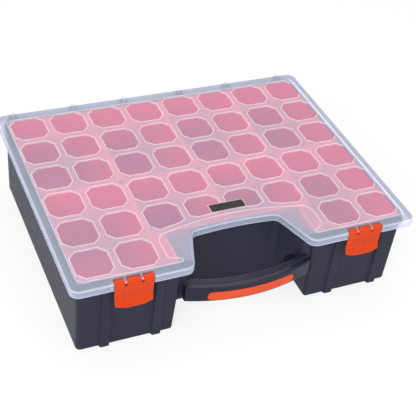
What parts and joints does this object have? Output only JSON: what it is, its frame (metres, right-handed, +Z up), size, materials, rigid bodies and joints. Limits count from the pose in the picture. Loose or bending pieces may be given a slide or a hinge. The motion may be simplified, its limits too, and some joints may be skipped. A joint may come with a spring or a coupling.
{
  "type": "parts organiser box",
  "caption": "Deep parts organiser box with a hinged frosted lid, lift-out bins, front latches and a curved carry handle in a bay.",
  "frame": {"origin": "on the floor, below the middle of the closed box's outline", "axes": "+X to the right across the front, +Y to the hinges at the back, +Z up"},
  "size_m": [0.454, 0.3686, 0.115],
  "materials": {
    "base_dark": "fine moulded grain",
    "lid_frosted": "frosted translucent, soft gloss",
    "label_blank": "bare satin film",
    "grip_orange": "soft matt",
    "latch_orange": "satin moulded",
    "pin_steel": "drawn wire",
    "bin_red": "satin moulded"
  },
  "bodies": {
    "base": {"base": "base_dark", "handle": "base_dark", "handle_grip": "grip_orange", "bin_rear_1": "bin_red", "bin_rear_2": "bin_red", "bin_rear_3": "bin_red", "bin_rear_4": "bin_red", "bin_middle_1": "bin_red", "bin_middle_2": "bin_red", "bin_front_left": "bin_red", "bin_front_right": "bin_red", "hinge_pin_1": "pin_steel", "hinge_pin_2": "pin_steel", "hinge_pin_3": "pin_steel", "hinge_pin_4": "pin_steel", "hinge_pin_5": "pin_steel", "hinge_pin_6": "pin_steel"},
    "lid": {"lid": "lid_frosted", "lid_label": "label_blank", "latch_pin_left": "pin_steel", "latch_pin_right": "pin_steel"},
    "latch_left": {"latch_left": "latch_orange"},
    "latch_right": {"latch_right": "latch_orange"}
  },
  "joints": [
    {"name": "lid_hinge", "type": "hinge", "parent": "base", "child": "lid", "pos_m": [0, 0.1817, 0.1055], "axis": [-1, 0, 0], "range_deg": [0, 105]},
    {"name": "latch_left_hinge", "type": "hinge", "parent": "lid", "child": "latch_left", "pos_m": [-0.1525, -0.1714, 0.1108], "axis": [-1, 0, 0], "range_deg": [0, 120]},
    {"name": "latch_right_hinge", "type": "hinge", "parent": "lid", "child": "latch_right", "pos_m": [0.1525, -0.1714, 0.1108], "axis": [-1, 0, 0], "range_deg": [0, 120]}
  ]
}
